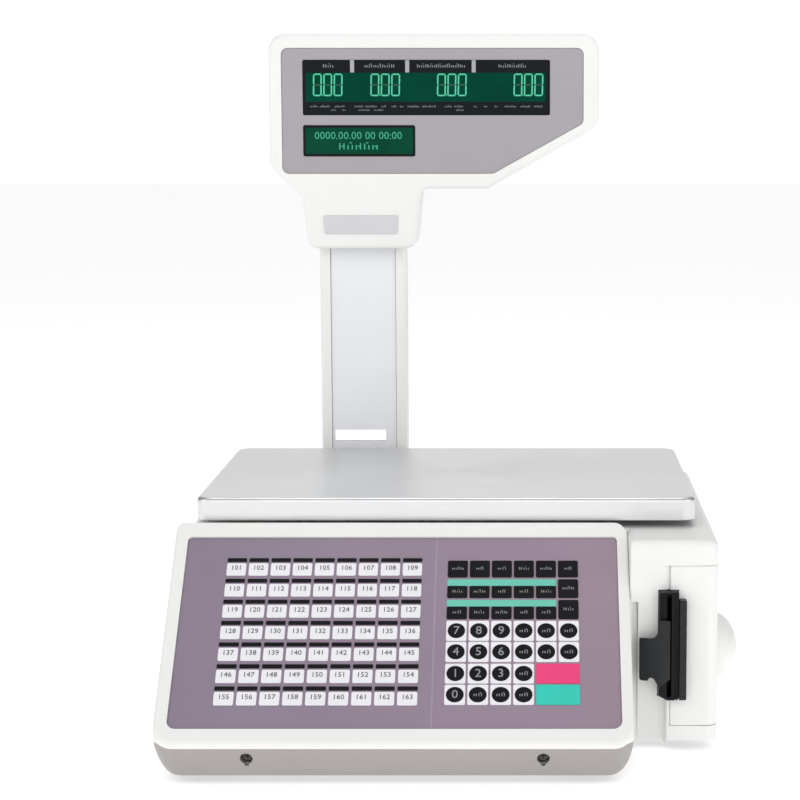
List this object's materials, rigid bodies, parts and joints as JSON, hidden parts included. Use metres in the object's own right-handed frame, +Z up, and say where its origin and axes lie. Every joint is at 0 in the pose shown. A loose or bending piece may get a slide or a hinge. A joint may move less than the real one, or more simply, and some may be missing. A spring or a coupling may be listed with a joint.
{
  "type": "label printing scale",
  "caption": "Counter weighing scale with sloped flat keypad, stainless platter, side label printer bay with wrap-round door, and a display head on a flat rear pole.",
  "frame": {"origin": "centre of the footprint at table level", "axes": "+Z up, -Y towards the operator, +X to the printer side"},
  "size_m": [0.3842, 0.425, 0.4863],
  "materials": {
    "white_plastic": "warm white moulded shell, fine satin texture",
    "black_plastic": "black moulded, satin",
    "blue_plastic": "blue moulded lever",
    "keypad_film": "mauve printed overlay film, fine texture",
    "panel_film": "light mauve-grey printed film",
    "pole_film": "pale bluish film",
    "display_glass": "dark green filter window",
    "stainless": "brushed stainless sheet",
    "zinc_steel": "zinc plated steel",
    "cast_alloy": "cast and machined aluminium",
    "rubber": "black rubber",
    "circuit": "green circuit board",
    "label_paper": "white label paper on liner",
    "nylon": "natural nylon gear",
    "silver_plate": "blank satin badge",
    "vial": "clear green level vial"
  },
  "bodies": {
    "housing": {"base_tray": "zinc_steel", "upper_housing": "white_plastic", "keypad_housing": "white_plastic", "keypad_overlay": "keypad_film", "keypad_board": "circuit", "front_screw_left": "zinc_steel", "front_screw_right": "zinc_steel", "load_cell_stand": "cast_alloy", "load_cell": "cast_alloy", "spider_post": "cast_alloy", "platter_spider": "cast_alloy", "level_vial": "vial", "main_board": "circuit", "power_supply": "zinc_steel", "power_inlet": "black_plastic", "network_port": "zinc_steel", "serial_port": "zinc_steel", "bay_wall": "zinc_steel", "printer_frame": "zinc_steel", "stepper_motor": "zinc_steel", "label_outlet": "black_plastic", "spindle_plate": "zinc_steel", "door_hinge_pin": "zinc_steel", "pole_tube": "white_plastic", "pole_front_strip": "pole_film", "pole_bracket": "zinc_steel", "head_front_shell": "white_plastic", "head_rear_shell": "white_plastic", "head_front_panel": "panel_film", "head_rear_panel": "panel_film", "window_main": "display_glass", "window_clock": "display_glass", "window_rear": "display_glass", "display_board": "circuit", "rear_display_board": "circuit", "nameplate": "silver_plate", "platter_pad_1": "rubber", "platter_pad_2": "rubber", "platter_pad_3": "rubber", "platter_pad_4": "rubber"},
    "platter": {"platter": "stainless"},
    "printer_door": {"printer_door": "white_plastic", "outlet_strip": "black_plastic", "door_grip": "white_plastic"},
    "print_head": {"print_head_arm": "zinc_steel", "thermal_head": "cast_alloy"},
    "head_lever": {"head_lever": "blue_plastic"},
    "platen": {"platen_roller": "rubber", "platen_shaft": "zinc_steel"},
    "idler": {"idler_gear": "nylon"},
    "pinion": {"motor_pinion": "zinc_steel"},
    "label_roll": {"label_spool": "black_plastic", "label_roll": "label_paper"},
    "roll_flange": {"roll_flange": "black_plastic"},
    "rewind_spool": {"rewind_spool": "black_plastic"},
    "power_rocker": {"power_rocker": "black_plastic"},
    "levelling_foot_1": {"levelling_foot_1": "rubber"},
    "levelling_foot_2": {"levelling_foot_2": "rubber"},
    "levelling_foot_3": {"levelling_foot_3": "rubber"},
    "levelling_foot_4": {"levelling_foot_4": "rubber"}
  },
  "joints": [
    {"name": "platter_lift", "type": "slide", "parent": "housing", "child": "platter", "axis": [0, 0, 1], "range_m": [0, 0.05]},
    {"name": "door_swing", "type": "hinge", "parent": "housing", "child": "printer_door", "pos_m": [0.17, 0.101, 0.0725], "axis": [0, 0, 1], "range_deg": [0, 90]},
    {"name": "print_head_swing", "type": "hinge", "parent": "housing", "child": "print_head", "pos_m": [0.158, -0.05, 0.076], "axis": [0, 0, 1], "range_deg": [0, 12], "stiffness_Nm_per_rad": 0.4},
    {"name": "head_lever_turn", "type": "hinge", "parent": "housing", "child": "head_lever", "pos_m": [0.135, -0.06, 0.116], "axis": [0, 0, 1], "range_deg": [0, 60]},
    {"name": "platen_spin", "type": "hinge", "parent": "housing", "child": "platen", "pos_m": [0.1352, -0.098, 0.072], "axis": [0, 0, 1], "continuous": true},
    {"name": "idler_spin", "type": "hinge", "parent": "housing", "child": "idler", "pos_m": [0.1352, -0.076, 0.016], "axis": [0, 0, 1], "continuous": true},
    {"name": "pinion_spin", "type": "hinge", "parent": "housing", "child": "pinion", "pos_m": [0.1352, -0.059, 0.016], "axis": [0, 0, 1], "continuous": true},
    {"name": "label_roll_spin", "type": "hinge", "parent": "housing", "child": "label_roll", "pos_m": [0.114, 0.045, 0.0726], "axis": [0, 0, 1], "continuous": true},
    {"name": "roll_flange_slide", "type": "slide", "parent": "label_roll", "child": "roll_flange", "axis": [0, 0, 1], "range_m": [0, 0.012]},
    {"name": "rewind_spin", "type": "hinge", "parent": "housing", "child": "rewind_spool", "pos_m": [0.088, -0.048, 0.072], "axis": [0, 0, 1], "continuous": true},
    {"name": "power_rocker_tilt", "type": "hinge", "parent": "housing", "child": "power_rocker", "pos_m": [0.04, 0.164, 0.038], "axis": [1, 0, 0], "range_deg": [0, 12]},
    {"name": "levelling_foot_1_turn", "type": "hinge", "parent": "housing", "child": "levelling_foot_1", "pos_m": [-0.16, -0.158, 0.004], "axis": [0, 0, 1], "continuous": true},
    {"name": "levelling_foot_2_turn", "type": "hinge", "parent": "housing", "child": "levelling_foot_2", "pos_m": [0.085, -0.158, 0.004], "axis": [0, 0, 1], "continuous": true},
    {"name": "levelling_foot_3_turn", "type": "hinge", "parent": "housing", "child": "levelling_foot_3", "pos_m": [-0.16, 0.14, 0.004], "axis": [0, 0, 1], "continuous": true},
    {"name": "levelling_foot_4_turn", "type": "hinge", "parent": "housing", "child": "levelling_foot_4", "pos_m": [0.145, 0.14, 0.004], "axis": [0, 0, 1], "continuous": true}
  ],
  "couplings": [
    {"joint": "idler_spin", "follows": "platen_spin", "ratio": -0.83333},
    {"joint": "pinion_spin", "follows": "platen_spin", "ratio": 2}
  ]
}
